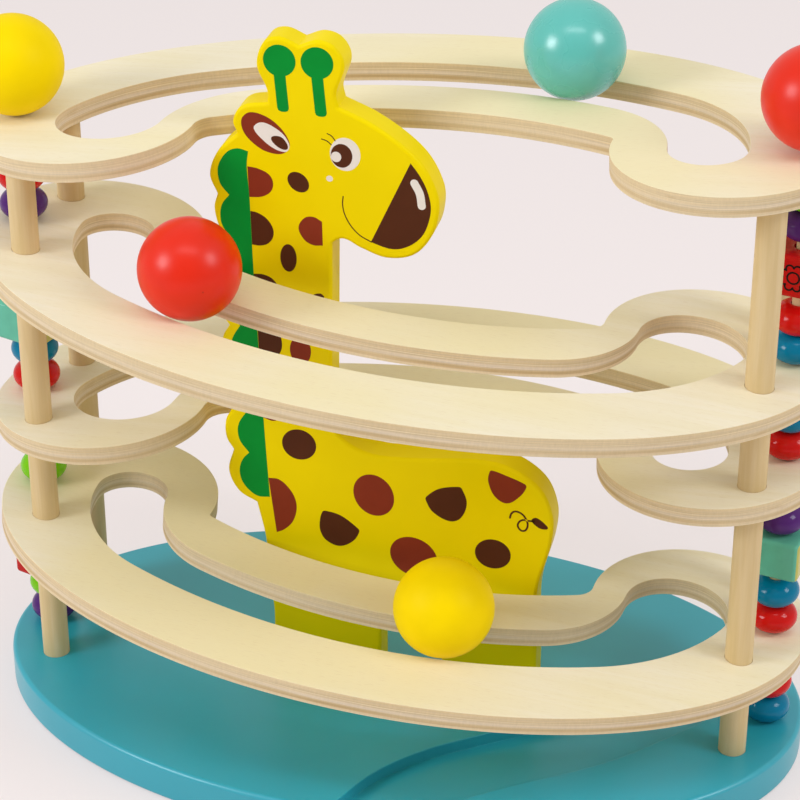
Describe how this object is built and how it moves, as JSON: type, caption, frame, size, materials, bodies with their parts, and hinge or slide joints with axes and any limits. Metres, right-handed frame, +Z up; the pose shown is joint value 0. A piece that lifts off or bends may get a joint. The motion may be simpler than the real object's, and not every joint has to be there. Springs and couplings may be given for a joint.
{
  "type": "ball track toy",
  "caption": "Wooden ball track toy: sloped oval plywood tracks with slots and drop holes on posts over a base board, a giraffe board, loose balls, and beads threaded on end rods.",
  "frame": {"origin": "centre of the base board's underside", "axes": "+X along the oval's length, to the right as the giraffe's face is seen; +Y from front to back; +Z up"},
  "size_m": [0.395, 0.234, 0.3491],
  "materials": {
    "birch_plywood": "sanded plywood under clear matt lacquer",
    "beech": "turned dowel under clear matt lacquer",
    "base_blue": "satin paint",
    "giraffe_yellow": "satin paint with printed markings",
    "ball_teal": "satin paint",
    "ball_red": "satin paint",
    "ball_yellow": "satin paint",
    "bead_red": "gloss lacquer",
    "bead_blue": "gloss lacquer",
    "bead_purple": "gloss lacquer",
    "bead_green": "gloss lacquer",
    "block_red": "satin paint",
    "block_teal": "satin paint"
  },
  "bodies": {
    "frame": {"base_board": "base_blue", "bead_rod_left": "beech", "bead_rod_right": "beech", "finial_left": "ball_yellow", "finial_right": "ball_red", "giraffe_board": "giraffe_yellow", "post_back_left": "beech", "post_back_right": "beech", "post_front_left": "beech", "post_front_right": "beech", "track_bottom": "birch_plywood", "track_lower": "birch_plywood", "track_top": "birch_plywood", "track_upper": "birch_plywood"},
    "ball_teal": {"ball_teal": "ball_teal"},
    "ball_red": {"ball_red": "ball_red"},
    "ball_yellow": {"ball_yellow": "ball_yellow"},
    "bead_left_ground_1_purple": {"bead_left_ground_1_purple": "bead_purple"},
    "bead_left_ground_2_green": {"bead_left_ground_2_green": "bead_green"},
    "bead_left_lower_1_green": {"bead_left_lower_1_green": "bead_green"},
    "bead_left_top_1_purple": {"bead_left_top_1_purple": "bead_purple"},
    "bead_left_top_2_red": {"bead_left_top_2_red": "bead_red"},
    "bead_left_upper_1_red": {"bead_left_upper_1_red": "bead_red"},
    "bead_left_upper_2_blue": {"bead_left_upper_2_blue": "bead_blue"},
    "bead_right_ground_1_blue": {"bead_right_ground_1_blue": "bead_blue"},
    "bead_right_ground_2_red": {"bead_right_ground_2_red": "bead_red"},
    "bead_right_lower_1_red": {"bead_right_lower_1_red": "bead_red"},
    "bead_right_lower_2_blue": {"bead_right_lower_2_blue": "bead_blue"},
    "bead_right_lower_4_purple": {"bead_right_lower_4_purple": "bead_purple"},
    "bead_right_top_1_blue": {"bead_right_top_1_blue": "bead_blue"},
    "bead_right_top_2_red": {"bead_right_top_2_red": "bead_red"},
    "bead_right_top_4_purple": {"bead_right_top_4_purple": "bead_purple"},
    "bead_right_top_5_green": {"bead_right_top_5_green": "bead_green"},
    "bead_right_upper_1_red": {"bead_right_upper_1_red": "bead_red"},
    "bead_right_upper_2_blue": {"bead_right_upper_2_blue": "bead_blue"},
    "block_left_ground_3_red": {"block_left_ground_3_red": "block_red"},
    "block_left_upper_3_teal": {"block_left_upper_3_teal": "block_teal"},
    "block_right_lower_3_teal": {"block_right_lower_3_teal": "block_teal"},
    "block_right_top_3_red": {"block_right_top_3_red": "block_red"}
  },
  "joints": [
    {"name": "ball_teal_roll", "type": "hinge", "parent": "frame", "child": "ball_teal", "pos_m": [0, -0.18368, 0.2942], "axis": [-0.0544, 0, 0.9985], "range_deg": [-5.5, 33.5]},
    {"name": "ball_red_roll", "type": "hinge", "parent": "frame", "child": "ball_red", "pos_m": [0, 0.18368, 0.21955], "axis": [0.0814, 0, 0.9967], "range_deg": [-2, 37.3]},
    {"name": "ball_yellow_roll", "type": "hinge", "parent": "frame", "child": "ball_yellow", "pos_m": [0, 0.18368, 0.0818], "axis": [0.0841, 0, 0.9965], "range_deg": [-28.8, 10.4]},
    {"name": "bead_left_ground_1_purple_spin", "type": "hinge", "parent": "frame", "child": "bead_left_ground_1_purple", "pos_m": [-0.175, 0, 0], "axis": [0, 0, 1], "continuous": true},
    {"name": "bead_left_ground_2_green_spin", "type": "hinge", "parent": "frame", "child": "bead_left_ground_2_green", "pos_m": [-0.175, 0, 0], "axis": [0, 0, 1], "continuous": true},
    {"name": "bead_left_lower_1_green_slide", "type": "slide", "parent": "frame", "child": "bead_left_lower_1_green", "axis": [0, 0, 1], "range_m": [0, 0.026]},
    {"name": "bead_left_top_1_purple_spin", "type": "hinge", "parent": "frame", "child": "bead_left_top_1_purple", "pos_m": [-0.175, 0, 0], "axis": [0, 0, 1], "continuous": true},
    {"name": "bead_left_top_2_red_slide", "type": "slide", "parent": "frame", "child": "bead_left_top_2_red", "axis": [0, 0, 1], "range_m": [0, 0.013]},
    {"name": "bead_left_upper_1_red_spin", "type": "hinge", "parent": "frame", "child": "bead_left_upper_1_red", "pos_m": [-0.175, 0, 0], "axis": [0, 0, 1], "continuous": true},
    {"name": "bead_left_upper_2_blue_spin", "type": "hinge", "parent": "frame", "child": "bead_left_upper_2_blue", "pos_m": [-0.175, 0, 0], "axis": [0, 0, 1], "continuous": true},
    {"name": "bead_right_ground_1_blue_spin", "type": "hinge", "parent": "frame", "child": "bead_right_ground_1_blue", "pos_m": [0.175, 0, 0], "axis": [0, 0, 1], "continuous": true},
    {"name": "bead_right_ground_2_red_slide", "type": "slide", "parent": "frame", "child": "bead_right_ground_2_red", "axis": [0, 0, 1], "range_m": [0, 0.0115]},
    {"name": "bead_right_lower_1_red_spin", "type": "hinge", "parent": "frame", "child": "bead_right_lower_1_red", "pos_m": [0.175, 0, 0], "axis": [0, 0, 1], "continuous": true},
    {"name": "bead_right_lower_2_blue_spin", "type": "hinge", "parent": "frame", "child": "bead_right_lower_2_blue", "pos_m": [0.175, 0, 0], "axis": [0, 0, 1], "continuous": true},
    {"name": "bead_right_lower_4_purple_slide", "type": "slide", "parent": "frame", "child": "bead_right_lower_4_purple", "axis": [0, 0, 1], "range_m": [0, 0.0145]},
    {"name": "bead_right_top_1_blue_spin", "type": "hinge", "parent": "frame", "child": "bead_right_top_1_blue", "pos_m": [0.175, 0, 0], "axis": [0, 0, 1], "continuous": true},
    {"name": "bead_right_top_2_red_spin", "type": "hinge", "parent": "frame", "child": "bead_right_top_2_red", "pos_m": [0.175, 0, 0], "axis": [0, 0, 1], "continuous": true},
    {"name": "bead_right_top_4_purple_spin", "type": "hinge", "parent": "frame", "child": "bead_right_top_4_purple", "pos_m": [0.175, 0, 0], "axis": [0, 0, 1], "continuous": true},
    {"name": "bead_right_top_5_green_slide", "type": "slide", "parent": "frame", "child": "bead_right_top_5_green", "axis": [0, 0, 1], "range_m": [0, 0.003]},
    {"name": "bead_right_upper_1_red_spin", "type": "hinge", "parent": "frame", "child": "bead_right_upper_1_red", "pos_m": [0.175, 0, 0], "axis": [0, 0, 1], "continuous": true},
    {"name": "bead_right_upper_2_blue_slide", "type": "slide", "parent": "frame", "child": "bead_right_upper_2_blue", "axis": [0, 0, 1], "range_m": [0, 0.0095]},
    {"name": "block_left_ground_3_red_slide", "type": "slide", "parent": "frame", "child": "block_left_ground_3_red", "axis": [0, 0, 1], "range_m": [0, 0.021]},
    {"name": "block_left_upper_3_teal_slide", "type": "slide", "parent": "frame", "child": "block_left_upper_3_teal", "axis": [0, 0, 1], "range_m": [0, 0.0295]},
    {"name": "block_right_lower_3_teal_spin", "type": "hinge", "parent": "frame", "child": "block_right_lower_3_teal", "pos_m": [0.175, 0, 0], "axis": [0, 0, 1], "continuous": true},
    {"name": "block_right_top_3_red_spin", "type": "hinge", "parent": "frame", "child": "block_right_top_3_red", "pos_m": [0.175, 0, 0], "axis": [0, 0, 1], "continuous": true}
  ]
}
